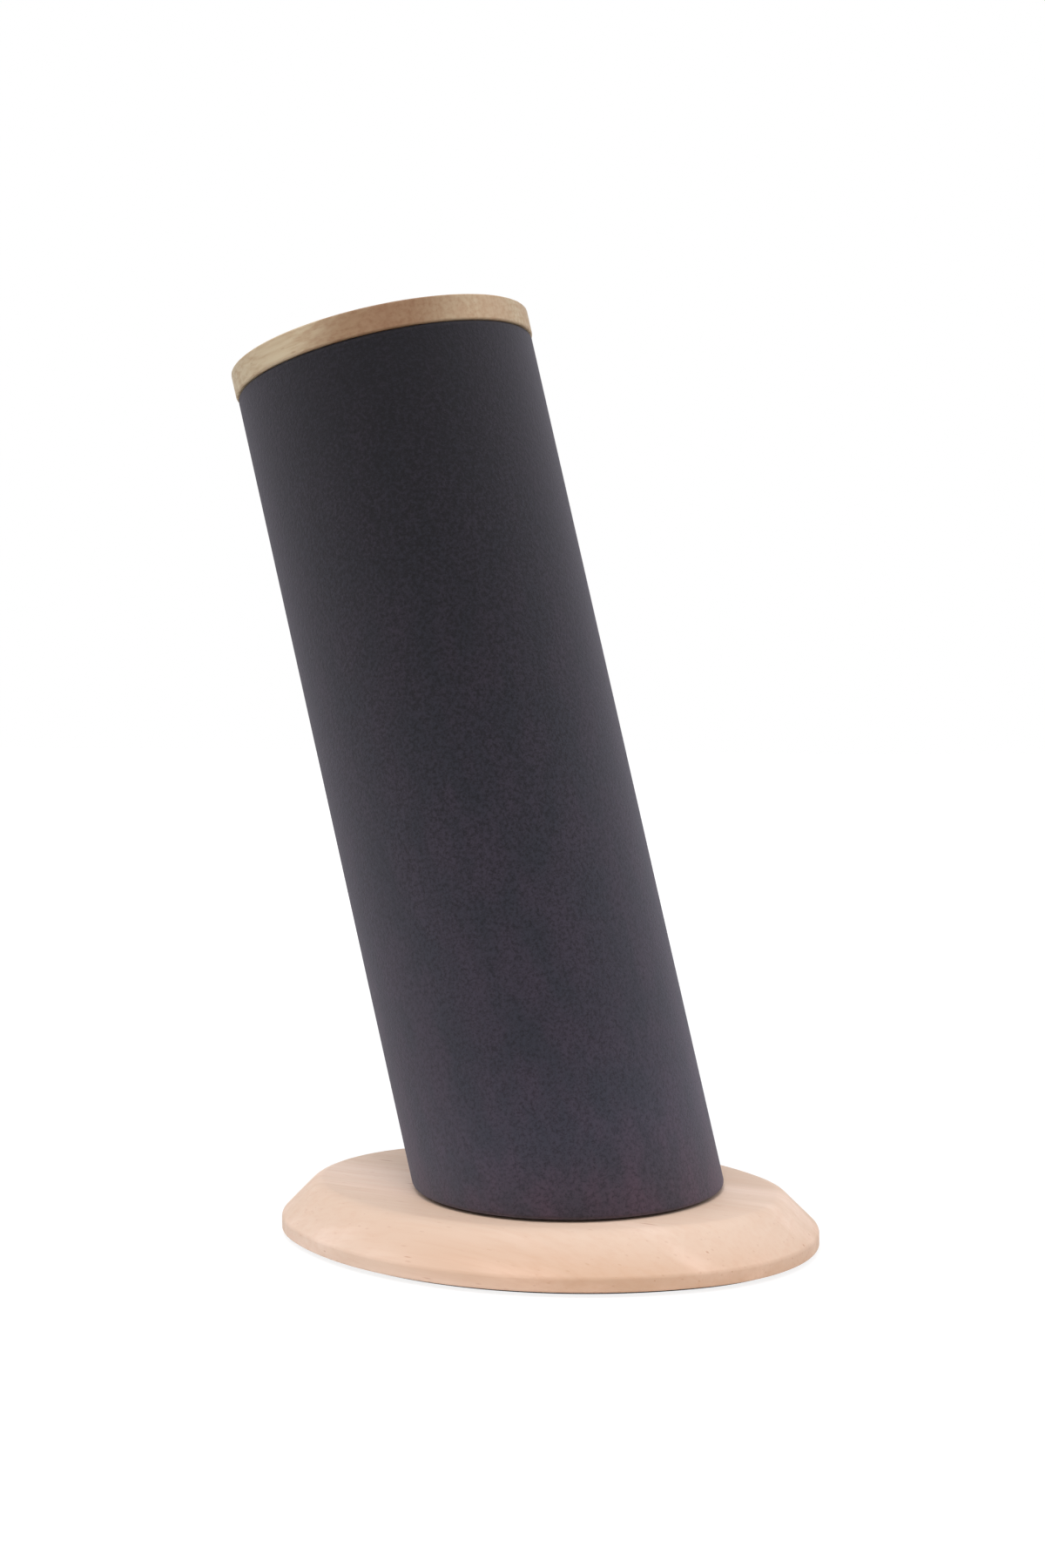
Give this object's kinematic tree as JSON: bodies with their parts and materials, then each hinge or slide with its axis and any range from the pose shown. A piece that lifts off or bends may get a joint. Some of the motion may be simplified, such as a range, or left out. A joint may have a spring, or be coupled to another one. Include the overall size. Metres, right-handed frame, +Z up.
{
  "type": "jewelry display stand",
  "caption": "Leaning round display column wrapped in dark suede, with a flat wooden cap, standing on an oval wooden base with a wide bevel.",
  "frame": {"origin": "the middle of the oval base, on the surface that the stand rests on, at the felt pad's underside", "axes": "+Z up; +X along the oval's long axis, away from the lean; the column leans towards -X; XZ is the plane of symmetry"},
  "size_m": [0.1973, 0.14, 0.3071],
  "materials": {
    "felt": "matte",
    "base_wood": "satin",
    "steel": "satin",
    "plug_wood": "matte",
    "paperboard": "matte",
    "suede": "matte",
    "dowel_wood": "matte",
    "cap_wood": "satin"
  },
  "bodies": {
    "root": {"base_pad": "felt", "base_plate": "base_wood", "base_screws": "steel", "foot_plug": "plug_wood", "lower_brads": "steel", "column_tube": "paperboard", "fabric_wrap": "suede", "top_plug": "plug_wood", "upper_brads": "steel", "cap_dowels": "dowel_wood", "top_cap": "cap_wood"}
  },
  "joints": []
}
